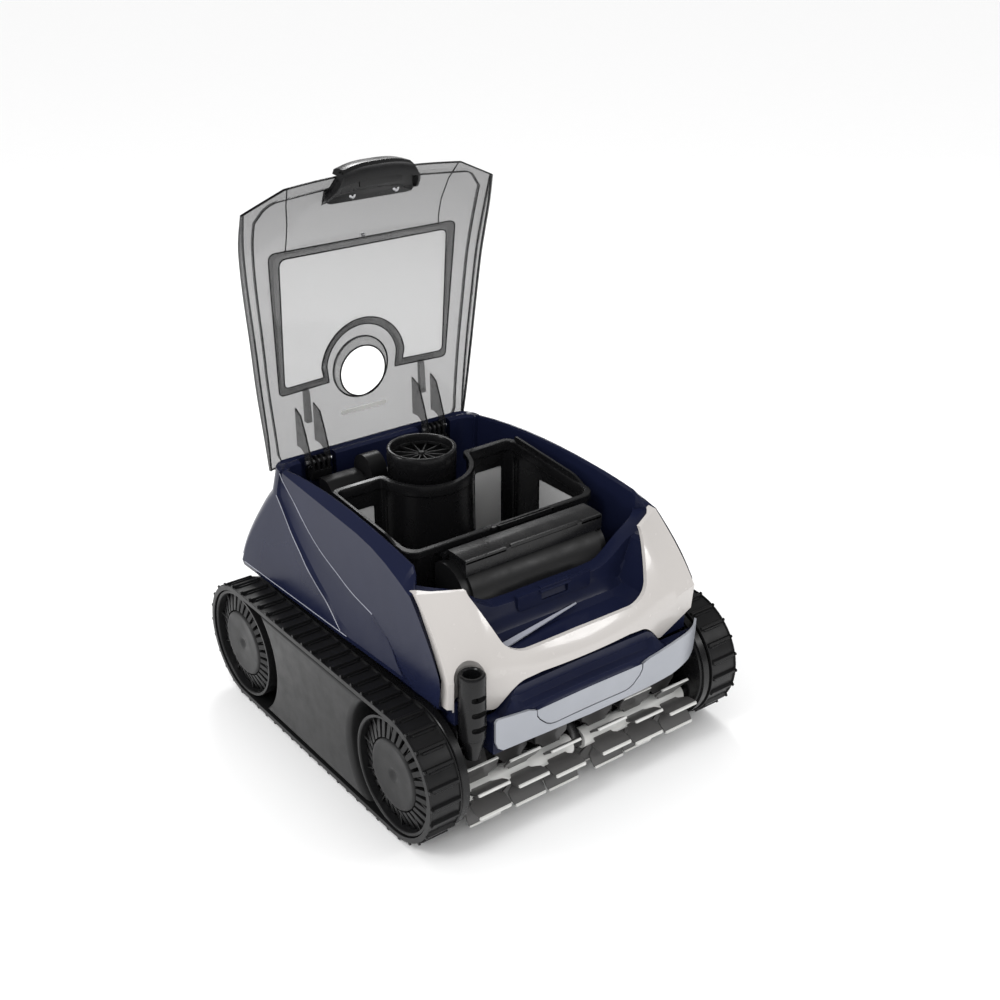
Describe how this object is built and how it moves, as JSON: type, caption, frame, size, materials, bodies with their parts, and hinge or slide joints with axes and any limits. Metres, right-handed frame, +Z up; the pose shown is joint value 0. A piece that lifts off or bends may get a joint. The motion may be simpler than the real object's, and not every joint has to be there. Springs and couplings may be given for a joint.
{
  "type": "robotic pool cleaner",
  "caption": "Tracked robotic pool cleaner with an open smoked lid, a lift-out filter basket, roller brushes with paddle blades and a central pump outlet.",
  "frame": {"origin": "on the floor, midway between the wheel axles and between the two tracks", "axes": "+Z up, +X to the machine's right, -Y to its front, where the brushes are"},
  "size_m": [0.43, 0.4766, 0.624],
  "materials": {
    "navy_shell": "deep navy, high gloss",
    "pearl_bezel": "pearl white, gloss",
    "silver_bumper": "silver metallic, satin",
    "black_plastic": "black, satin",
    "track_rubber": "black, satin",
    "grey_plastic": "dark grey, satin",
    "smoked_clear": "smoked transparent, polished",
    "filter_mesh": "fine woven mesh",
    "brush_elastomer": "translucent grey",
    "white_plastic": "white, satin",
    "bright_steel": "ground"
  },
  "bodies": {
    "chassis": {"body_shell": "navy_shell", "front_tray": "navy_shell", "lid_catch": "navy_shell", "front_skirt": "navy_shell", "bezel": "pearl_bezel", "bumper": "silver_bumper", "bumper_insert": "silver_bumper", "bay_floor": "black_plastic", "chassis_base": "black_plastic", "intake_duct": "black_plastic", "cable_gland": "black_plastic", "comb_plate": "black_plastic", "brush_support": "black_plastic", "outlet_tube": "black_plastic", "outlet_grille": "black_plastic", "rear_manifold": "black_plastic", "pump_motor": "black_plastic", "side_frame_left": "black_plastic", "side_frame_right": "black_plastic", "hinge_bracket_left": "black_plastic", "hinge_bracket_right": "black_plastic", "drive_motor_left": "black_plastic", "drive_motor_right": "black_plastic", "track_left": "track_rubber", "track_right": "track_rubber", "side_panel_left": "grey_plastic", "side_panel_right": "grey_plastic", "brush_shaft": "bright_steel", "hinge_pin_left": "bright_steel", "hinge_pin_right": "bright_steel", "axle_front_left": "bright_steel", "axle_front_right": "bright_steel", "axle_rear_left": "bright_steel", "axle_rear_right": "bright_steel"},
    "lid": {"lid_shell": "smoked_clear", "lid_handle": "black_plastic"},
    "latch_lever": {"lid_latch": "black_plastic"},
    "filter_basket": {"basket_frame": "black_plastic", "basket_handle": "black_plastic", "inlet_duct": "black_plastic", "filter_mesh_left": "filter_mesh", "filter_mesh_right": "filter_mesh", "filter_mesh_rear_left": "filter_mesh", "filter_mesh_rear_right": "filter_mesh"},
    "flap": {"inlet_flap": "black_plastic"},
    "impeller": {"propeller": "white_plastic", "pump_shaft": "bright_steel"},
    "pinion_left": {"drive_pinion_left": "white_plastic"},
    "brush_roller_left": {"brush_left": "brush_elastomer"},
    "front_wheel_left": {"wheel_front_left": "black_plastic", "hub_cap_front_left": "grey_plastic"},
    "rear_wheel_left": {"wheel_rear_left": "black_plastic", "hub_cap_rear_left": "grey_plastic"},
    "pinion_right": {"drive_pinion_right": "white_plastic"},
    "brush_roller_right": {"brush_right": "brush_elastomer"},
    "front_wheel_right": {"wheel_front_right": "black_plastic", "hub_cap_front_right": "grey_plastic"},
    "rear_wheel_right": {"wheel_rear_right": "black_plastic", "hub_cap_rear_right": "grey_plastic"}
  },
  "joints": [
    {"name": "lid_swing", "type": "hinge", "parent": "chassis", "child": "lid", "pos_m": [0, 0.181, 0.2738], "axis": [-1, 0, 0], "range_deg": [-86, 0]},
    {"name": "latch_press", "type": "hinge", "parent": "lid", "child": "latch_lever", "pos_m": [0, 0.1525, 0.611], "axis": [1, 0, 0], "range_deg": [0, 10], "stiffness_Nm_per_rad": 0.2, "springref_deg": -5.73},
    {"name": "basket_lift", "type": "slide", "parent": "chassis", "child": "filter_basket", "axis": [0, 0, 1], "range_m": [0, 0.22]},
    {"name": "flap_swing", "type": "hinge", "parent": "chassis", "child": "flap", "pos_m": [0, -0.039, 0.031], "axis": [-1, 0, 0], "range_deg": [0, 65]},
    {"name": "impeller_spin", "type": "hinge", "parent": "chassis", "child": "impeller", "pos_m": [0, 0.0848, 0.2], "axis": [0, 0, 1], "continuous": true},
    {"name": "rear_wheel_left_spin", "type": "hinge", "parent": "chassis", "child": "rear_wheel_left", "pos_m": [-0.1955, 0.1625, 0.0758], "axis": [1, 0, 0], "continuous": true},
    {"name": "front_wheel_left_spin", "type": "hinge", "parent": "chassis", "child": "front_wheel_left", "pos_m": [-0.1955, -0.1625, 0.0758], "axis": [1, 0, 0], "continuous": true},
    {"name": "pinion_left_spin", "type": "hinge", "parent": "chassis", "child": "pinion_left", "pos_m": [-0.1955, 0.1245, 0.0758], "axis": [1, 0, 0], "continuous": true},
    {"name": "brush_left_spin", "type": "hinge", "parent": "chassis", "child": "brush_roller_left", "pos_m": [-0.0782, -0.199, 0.048], "axis": [1, 0, 0], "continuous": true},
    {"name": "rear_wheel_right_spin", "type": "hinge", "parent": "chassis", "child": "rear_wheel_right", "pos_m": [0.1955, 0.1625, 0.0758], "axis": [1, 0, 0], "continuous": true},
    {"name": "front_wheel_right_spin", "type": "hinge", "parent": "chassis", "child": "front_wheel_right", "pos_m": [0.1955, -0.1625, 0.0758], "axis": [1, 0, 0], "continuous": true},
    {"name": "pinion_right_spin", "type": "hinge", "parent": "chassis", "child": "pinion_right", "pos_m": [0.1955, 0.1245, 0.0758], "axis": [1, 0, 0], "continuous": true},
    {"name": "brush_right_spin", "type": "hinge", "parent": "chassis", "child": "brush_roller_right", "pos_m": [0.0782, -0.199, 0.048], "axis": [1, 0, 0], "continuous": true}
  ],
  "couplings": [
    {"joint": "front_wheel_left_spin", "follows": "rear_wheel_left_spin", "ratio": 1},
    {"joint": "pinion_left_spin", "follows": "rear_wheel_left_spin", "ratio": 3.92},
    {"joint": "brush_left_spin", "follows": "rear_wheel_left_spin", "ratio": 1.5},
    {"joint": "front_wheel_right_spin", "follows": "rear_wheel_right_spin", "ratio": 1},
    {"joint": "pinion_right_spin", "follows": "rear_wheel_right_spin", "ratio": 3.92},
    {"joint": "brush_right_spin", "follows": "rear_wheel_right_spin", "ratio": 1.5}
  ]
}
